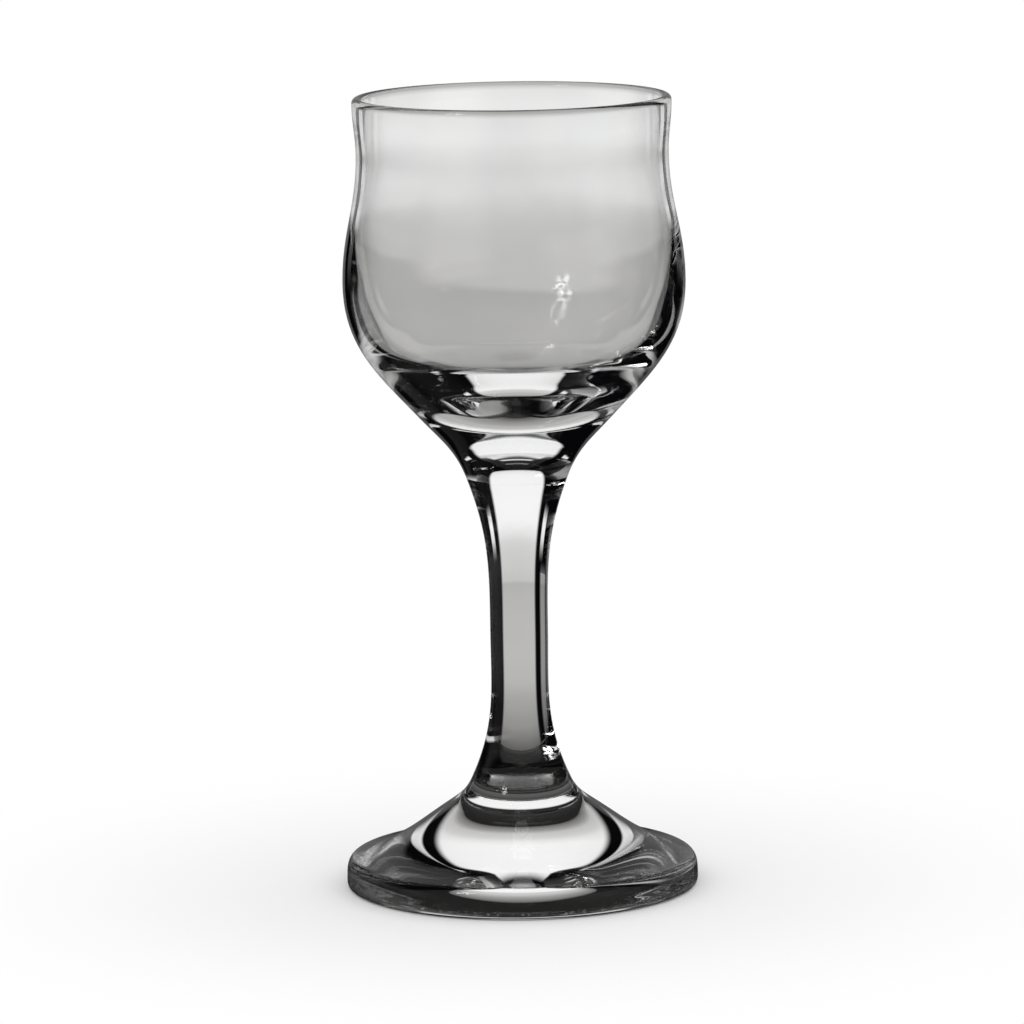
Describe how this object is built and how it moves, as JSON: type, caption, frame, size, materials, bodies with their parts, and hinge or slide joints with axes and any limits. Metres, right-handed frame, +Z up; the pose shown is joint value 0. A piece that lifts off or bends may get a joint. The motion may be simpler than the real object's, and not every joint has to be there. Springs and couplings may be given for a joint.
{
  "type": "cordial glass",
  "caption": "Stemmed cordial glass with a waisted bowl, a thick solid base, a slim waisted stem and a domed foot, for small servings of liqueur.",
  "frame": {"origin": "centre of the plane that the foot stands on", "axes": "+Z up along the glass's axis, from the foot to the rim; X and Y are alike, because the glass is a body of revolution"},
  "size_m": [0.0524, 0.0524, 0.118],
  "materials": {
    "clear_glass": "clear fire-polished soda-lime glass with a faint grey tint"
  },
  "bodies": {
    "root": {"bowl": "clear_glass", "stem": "clear_glass", "foot": "clear_glass"}
  },
  "joints": []
}
